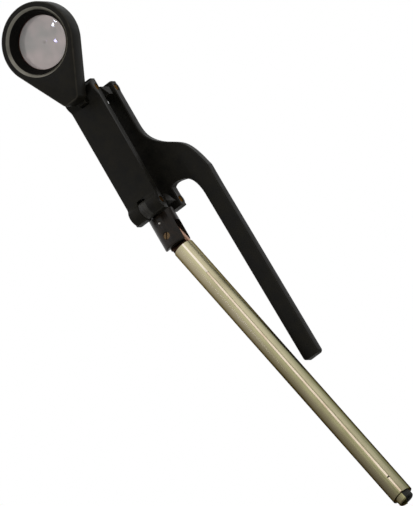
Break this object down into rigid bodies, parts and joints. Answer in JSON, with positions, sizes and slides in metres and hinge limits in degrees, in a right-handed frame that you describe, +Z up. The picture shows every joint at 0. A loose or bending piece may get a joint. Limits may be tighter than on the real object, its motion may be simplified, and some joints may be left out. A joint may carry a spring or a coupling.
{
  "type": "slit lamp fundus lens attachment",
  "caption": "Teardrop lens cell on a parallel-arm linkage with an S-shaped hand lever, swung on a slotted round fork at the top of a slim guide tube with a telescoping rod.",
  "frame": {"origin": "centre of the guide tube's lower end", "axes": "+Z up along the guide tube, -Y towards the lens side, hand lever on the +X side"},
  "size_m": [0.0365, 0.0276, 0.227],
  "materials": {
    "black_enamel": "satin",
    "black_barrel": "satin, worn",
    "nickel_plate": "satin nickel, aged",
    "plated_head": "bright copper",
    "brass": "turned",
    "steel": "turned",
    "black_nylon": "matte",
    "lens_glass": "coated, clear"
  },
  "bodies": {
    "tube": {"guide_tube": "nickel_plate", "rod_guide_bush": "brass", "tube_head": "plated_head", "head_cross_pin": "steel"},
    "rod": {"inner_rod": "nickel_plate", "rod_end_insert": "black_nylon", "rod_stop_ring": "brass"},
    "fork": {"fork_barrel": "black_barrel", "pivot_screw": "brass", "pivot_washers": "steel", "barrel_lock_pin": "steel", "hinge_block": "black_enamel"},
    "front_link": {"front_arm": "black_enamel", "lower_front_pin": "brass", "upper_front_pin": "brass"},
    "lever_link": {"rear_arm_lever": "black_enamel", "lower_rear_pin": "brass", "upper_rear_pin": "brass"},
    "lens_head": {"carrier_block": "black_enamel", "cell_screws": "steel", "lens_cell": "black_enamel", "fundus_lens": "lens_glass", "lens_seat_ring": "black_nylon", "lens_retaining_ring": "black_barrel"}
  },
  "joints": [
    {"name": "rod_extend", "type": "slide", "parent": "tube", "child": "rod", "axis": [0, 0, -1], "range_m": [0, 0.09]},
    {"name": "head_swing", "type": "hinge", "parent": "tube", "child": "fork", "pos_m": [0, 0, 0.12942], "axis": [0, 1, 0], "range_deg": [-26.9, 3.1]},
    {"name": "arm_tilt", "type": "hinge", "parent": "fork", "child": "front_link", "pos_m": [0.00235, -0.007, 0.14058], "axis": [0.9785, 0, -0.2062], "range_deg": [0, 55]},
    {"name": "lever_tilt", "type": "hinge", "parent": "fork", "child": "lever_link", "pos_m": [0.00235, 0.007, 0.14058], "axis": [0.9785, 0, -0.2062], "range_deg": [0, 55]},
    {"name": "lens_level", "type": "hinge", "parent": "front_link", "child": "lens_head", "pos_m": [0.01217, -0.007, 0.18716], "axis": [0.9785, 0, -0.2062], "range_deg": [-55, 0]}
  ],
  "couplings": [
    {"joint": "lever_tilt", "follows": "arm_tilt", "ratio": 1},
    {"joint": "lens_level", "follows": "arm_tilt", "ratio": -1}
  ]
}
